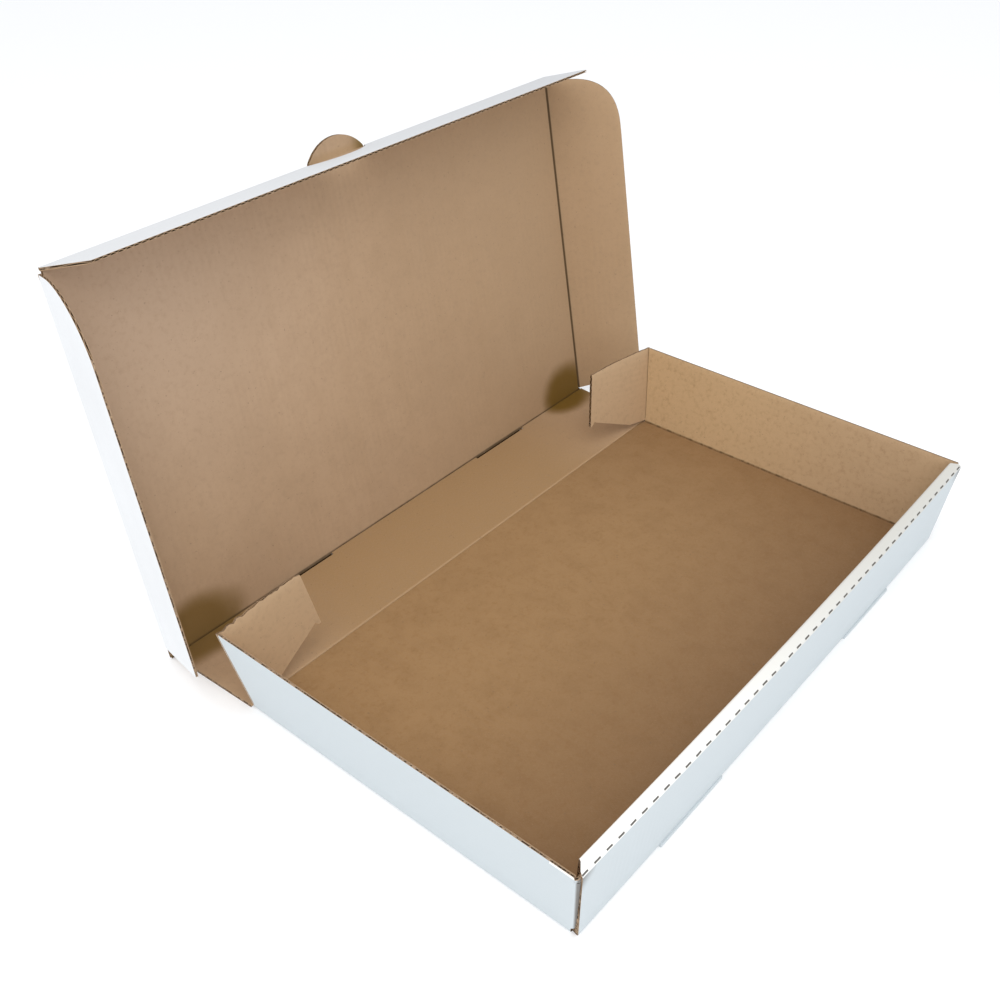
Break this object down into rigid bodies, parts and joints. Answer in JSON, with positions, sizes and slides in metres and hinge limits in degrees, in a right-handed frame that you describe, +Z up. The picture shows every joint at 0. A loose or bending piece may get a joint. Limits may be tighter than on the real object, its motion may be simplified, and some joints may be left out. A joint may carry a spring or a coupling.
{
  "type": "catering box",
  "caption": "Open catering box folded from one sheet of corrugated board, white outside and kraft inside, with a rolled-over front wall and a hinged lid with tuck flaps.",
  "frame": {"origin": "middle of the underside of the tray's floor", "axes": "+X along the box to the right as the picture's near side sees it, +Y from the front wall to the lid hinge, +Z up"},
  "size_m": [0.636, 0.4991, 0.3638],
  "materials": {
    "white_lined_board": "bleached white liner outside, kraft inside, matte",
    "kraft_board": "brown kraft liner, matte, with faint flute lines"
  },
  "bodies": {
    "tray": {"tray": "white_lined_board"},
    "back_wall": {"back_wall": "kraft_board"},
    "lid": {"lid": "kraft_board"},
    "lid_front_flap": {"lid_front_flap": "white_lined_board"},
    "lid_side_flap_left": {"lid_side_flap_left": "white_lined_board"},
    "lid_side_flap_right": {"lid_side_flap_right": "white_lined_board"},
    "rear_corner_flap_left": {"rear_corner_flap_left": "kraft_board"},
    "rear_corner_flap_right": {"rear_corner_flap_right": "kraft_board"}
  },
  "joints": [
    {"name": "back_wall_fold", "type": "hinge", "parent": "tray", "child": "back_wall", "pos_m": [0, 0.166, 0.0015], "axis": [1, 0, 0], "range_deg": [0, 79]},
    {"name": "lid_fold", "type": "hinge", "parent": "back_wall", "child": "lid", "pos_m": [0, 0.26098, 0.0015], "axis": [1, 0, 0], "range_deg": [-80.4, 21.8]},
    {"name": "lid_front_flap_fold", "type": "hinge", "parent": "lid", "child": "lid_front_flap", "pos_m": [0, 0.31863, 0.34231], "axis": [1, 0, 0], "range_deg": [-80.7, 15.3]},
    {"name": "lid_side_flap_left_fold", "type": "hinge", "parent": "lid", "child": "lid_side_flap_left", "pos_m": [-0.28782, 0.26098, 0.0015], "axis": [0, -0.1668, -0.986], "range_deg": [0, 76]},
    {"name": "lid_side_flap_right_fold", "type": "hinge", "parent": "lid", "child": "lid_side_flap_right", "pos_m": [0.28782, 0.26098, 0.0015], "axis": [0, 0.1668, 0.986], "range_deg": [0, 56]},
    {"name": "rear_corner_flap_left_fold", "type": "hinge", "parent": "tray", "child": "rear_corner_flap_left", "pos_m": [-0.278, 0.1625, 0.0015], "axis": [0.1719, -0.1422, -0.9748], "range_deg": [0, 4]},
    {"name": "rear_corner_flap_right_fold", "type": "hinge", "parent": "tray", "child": "rear_corner_flap_right", "pos_m": [0.278, 0.1625, 0.0015], "axis": [0.1719, 0.1422, 0.9748], "range_deg": [0, 11]}
  ],
  "couplings": [
    {"joint": "lid_side_flap_left_fold", "follows": "back_wall_fold", "ratio": 0.96203},
    {"joint": "lid_side_flap_right_fold", "follows": "back_wall_fold", "ratio": 0.70886},
    {"joint": "rear_corner_flap_left_fold", "follows": "back_wall_fold", "ratio": 0.050632},
    {"joint": "rear_corner_flap_right_fold", "follows": "back_wall_fold", "ratio": 0.13924}
  ]
}
